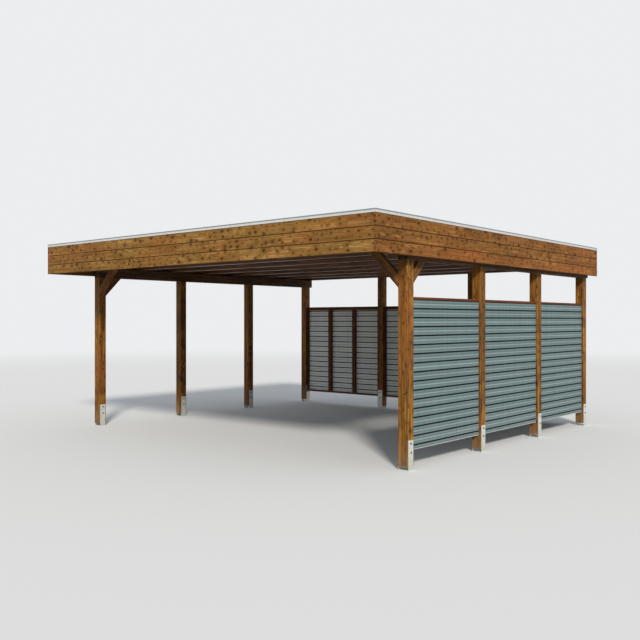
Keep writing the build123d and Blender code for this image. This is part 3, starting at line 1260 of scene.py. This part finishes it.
@dataclass(frozen=True)
class Anchors:
    """Steel anchors under the posts, with their through bolts.

    Attributes:
        heights: Heights of the bolts above the ground.
        across_flats: Spanner size of head and nut.
        head, nut: Their heights.
        thread, tip: Radius of the bolt's end, and how far it stands out of the nut.
        chamfer: Height of its chamfer.
        washer_radius, washer: Radius and thickness of the washers.
        sides: Points round the bolt.
    """

    heights: tuple[float, float] = (0.19, 0.285)
    across_flats: float = 0.019
    head: float = 0.0075
    nut: float = 0.010
    thread: float = 0.006
    tip: float = 0.0042
    chamfer: float = 0.0012
    washer_radius: float = 0.012
    washer: float = 0.0025
    sides: int = 24

    def end(self, height: float) -> Shape:
        """A washer under a six-sided head or nut.

        Args:
            height: Height of the head or nut.

        Returns:
            Both as one shape, with the foot on Z = 0.
        """
        foot = self.washer - SUNK
        washer = turned([(self.washer_radius, -SUNK), (self.washer_radius, self.washer)], self.sides)
        return together(washer, hexagon(self.across_flats, foot, self.washer + height, self.sides))

    def build(self) -> None:
        """Dresses the anchors and sets two bolts through each."""
        dress(named("post_anchors"), ZincCoat("galvanised_anchor"))
        nut, tip = self.washer + self.nut, self.washer + self.nut + self.tip
        profile = [
            (self.thread, nut - CHAMFER), (self.thread, tip - self.chamfer), (self.thread * 0.8, tip)
        ]
        heads = stood(self.end(self.head), self.bolts(1))
        nuts = stood(together(self.end(self.nut), turned(profile, self.sides)), self.bolts(-1))
        dark = ZincCoat("galvanised_bolt", 400.0, bright=paint(150, 148, 138), dull=paint(104, 102, 94))
        add_piece("anchor_bolts", together(heads, nuts), dark.material())

    def bolts(self, end: int) -> Spots:
        """Places and directions of one end of every bolt.

        Args:
            end: 1 for the heads, -1 for the nuts.

        Returns:
            One spot to a bolt.
        """
        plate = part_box("post_anchors_right")[1].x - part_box("post_right_1")[1].x
        spots = []
        for name in named("post_left") + named("post_right") + named("post_rear"):
            low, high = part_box(name)
            middle = middle_of(name)
            across = name.startswith("post_rear")
            side = Vector((0, 1, 0)) if across else Vector((math.copysign(1, middle.x), 0, 0))
            spot = middle + side * (end * ((high.x - low.x) / 2 + plate))
            spots.append(grid([spot.x], [spot.y], self.heights, side * end))
        return all_of(*spots)


@dataclass(frozen=True)
class RoofSkin:
    """Trapezoidal roof sheets with their laps and sealed screws.

    Attributes:
        pitch: Distance between ribs.
        crown, base: Half widths of a rib at its top and at its foot.
        rib, sheet: Height of a rib, and thickness of the sheet.
        ribs_a_sheet: Ribs from one lap to the next.
        lap: Thickness of the upper sheet at a lap.
        lap_inset: How far inside the rib's foot the upper sheet ends.
        lap_level: Height where it ends, as a share of the rib's.
        seal: Radius and height pairs of a screw's sealing washer.
        screw: Spanner size, foot and top of a screw's head.
        sides: Points round a screw.
        margin: Distance of the last screws from the sheet's end, at the least.
    """

    pitch: float = 0.207
    crown: float = 0.020
    base: float = 0.044
    rib: float = 0.035
    sheet: float = 0.0015
    ribs_a_sheet: int = 5
    lap: float = 0.0009
    lap_inset: float = 0.006
    lap_level: float = 0.25
    seal: Profile = ((0.0095, -SUNK), (0.0095, 0.0018), (0.0055, 0.0034))
    screw: Triple = (0.008, 0.003, 0.0086)
    sides: int = 12
    margin: float = 0.03

    def build(self) -> None:
        """Dresses the sheet, then adds the laps, and a screw in every valley on every rafter."""
        dress(["roof_sheet"], StuccoSheet("roof_sheet_metal", Lay.BACKWARD))
        low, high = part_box("roof_sheet")
        ribs = int((high.x - low.x - 2 * self.base) // self.pitch) + 1
        first = -(ribs - 1) * self.pitch / 2
        surface = low.z + self.sheet

        slope = self.lap * 0.8
        end, level = self.base - self.lap_inset, self.rib * self.lap_level
        profile = [
            (-self.base, 0.0), (-self.crown, self.rib), (self.crown, self.rib), (end, level),
            (end + slope, level + slope), (self.crown + slope, self.rib + self.lap),
            (-self.crown, self.rib + self.lap),
        ]
        lapped = first + np.arange(self.ribs_a_sheet, ribs - 1, self.ribs_a_sheet) * self.pitch
        starts = grid(lapped, [low.y], [surface], (0, 0, 1))[0]
        laps = carried(profile, starts, high.y - low.y)
        add_piece("roof_sheet_laps", laps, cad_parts["roof_sheet"].data.materials[0])

        valleys = first + (np.arange(ribs - 1) + 0.5) * self.pitch
        rafters = [min(middle_of(name).y, high.y - self.margin) for name in named("rafter")]
        screw = together(turned(self.seal, self.sides), hexagon(*self.screw, self.sides))
        screws = stood(screw, grid(valleys, rafters, [surface], (0, 0, 1)))
        add_piece("roof_screws", screws, ZincCoat("sealed_screw", crystal=500.0).material())


@dataclass(frozen=True)
class Studio:
    """Pale floor, soft light and the photograph's camera.

    Attributes:
        eye, heading: The camera's place, and its turn from the rear towards the left in degrees.
        focal_pixels, picture_pixels: Focal length in pixels of the picture, and the picture's width.
        sensor, clip: Width of the camera's sensor in millimetres, and how far it sees.
        floor_reach: Half the floor's side.
        fade: Distances between which the floor fades into the background.
        floor_dark, floor_pale: Colours of the floor where it only throws light back, and as seen.
        sun_height, sun_turn: Degrees of the main light above the ground, and to the right of
            straight in front.
        sun_strength, sun_width, sun_colour: Its strength, its degrees across and its colour.
        sky_strength, sky_colour: Strength and colour of the soft light from all round.
        backdrop: Colour of the background.
    """

    eye: Triple = (7.540, -9.122, 1.595)
    heading: float = 40.205
    focal_pixels: float = 793.41
    picture_pixels: int = 640
    sensor: float = 36.0
    clip: float = 500.0
    floor_reach: float = 90.0
    fade: tuple[float, float] = (14.0, 34.0)
    floor_dark: Colour = (0.42, 0.42, 0.42)
    floor_pale: Colour = (0.74, 0.74, 0.73)
    sun_height: float = 31.0
    sun_turn: float = 47.0
    sun_strength: float = 3.1
    sun_width: float = 9.0
    sun_colour: Colour = (1.0, 0.96, 0.89)
    sky_strength: float = 0.52
    sky_colour: Colour = (0.92, 0.98, 1.06)
    backdrop: Colour = (0.84, 0.85, 0.86)

    def build(self) -> None:
        """Sets up floor, background, lights and camera."""
        self.floor()
        self.background()
        self.light()
        self.camera()
        bpy.context.scene.view_settings.view_transform = "Standard"

    def seen(self, b: Bench) -> Number:
        """1 for what the camera sees, itself or in a shiny surface, and 0 for what only lights."""
        rays = b.node("ShaderNodeLightPath", {}).outputs
        return b.term(rays["Is Camera Ray"]).most(b.term(rays["Is Glossy Ray"]))

    def floor(self) -> None:
        """A flat floor that fades into the background far off. Only the camera sees it pale."""
        reach = self.floor_reach
        corners = [(-reach, -reach, 0), (reach, -reach, 0), (reach, reach, 0), (-reach, reach, 0)]
        mesh = bpy.data.meshes.new("floor")
        mesh.from_pydata(corners, [], [(0, 1, 2, 3)])
        placed("floor", mesh)
        material = bpy.data.materials.new("studio_floor")
        b = empty_bench(material)
        seen = self.seen(b)
        far = b.place().length().rise(*self.fade)
        pale = b.blend(seen, self.floor_dark, self.floor_pale)
        matt = b.out("ShaderNodeBsdfDiffuse", {"Color": pale})
        glow = b.out("ShaderNodeEmission", {"Color": self.backdrop, "Strength": 1.0})
        both = b.out("ShaderNodeMixShader", {0: far * seen, 1: matt, 2: glow})
        b.node("ShaderNodeOutputMaterial", {"Surface": both})
        mesh.materials.append(material)

    def background(self) -> None:
        """Soft pale light from all round, and the plain background."""
        world = bpy.data.worlds.new("studio")
        b = empty_bench(world)
        soft = {"Color": self.sky_colour, "Strength": self.sky_strength}
        light = b.out("ShaderNodeBackground", soft)
        view = b.out("ShaderNodeBackground", {"Color": self.backdrop, "Strength": 1.0})
        both = b.out("ShaderNodeMixShader", {0: self.seen(b), 1: light, 2: view})
        b.node("ShaderNodeOutputWorld", {"Surface": both})
        bpy.context.scene.world = world

    def light(self) -> None:
        """One broad soft lamp from the front right."""
        lamp = bpy.data.lights.new("main_light", "SUN")
        lamp.energy = self.sun_strength
        lamp.angle = math.radians(self.sun_width)
        lamp.color = self.sun_colour
        light = placed("main_light", lamp)
        light.rotation_euler = (math.radians(90 - self.sun_height), 0, math.radians(self.sun_turn))

    def camera(self) -> None:
        """A level camera at eye height, as the photograph has."""
        lens = bpy.data.cameras.new("camera")
        lens.sensor_width = self.sensor
        lens.lens = self.focal_pixels / self.picture_pixels * self.sensor
        lens.clip_end = self.clip
        camera = placed("camera", lens)
        camera.location = self.eye
        camera.rotation_euler = (math.radians(90), 0, math.radians(self.heading))
        bpy.context.scene.camera = camera


def main() -> None:
    """Builds every sub-assembly in order."""
    logging.basicConfig(level=logging.INFO, format="%(message)s")
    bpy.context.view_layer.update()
    screws = ScrewSteel("screw_steel").material()
    Timbers().build(screws)
    Edging().build(screws)
    Walls().build(screws)
    Anchors().build()
    RoofSkin().build()
    Studio().build()


if __name__ == "__main__":
    main()
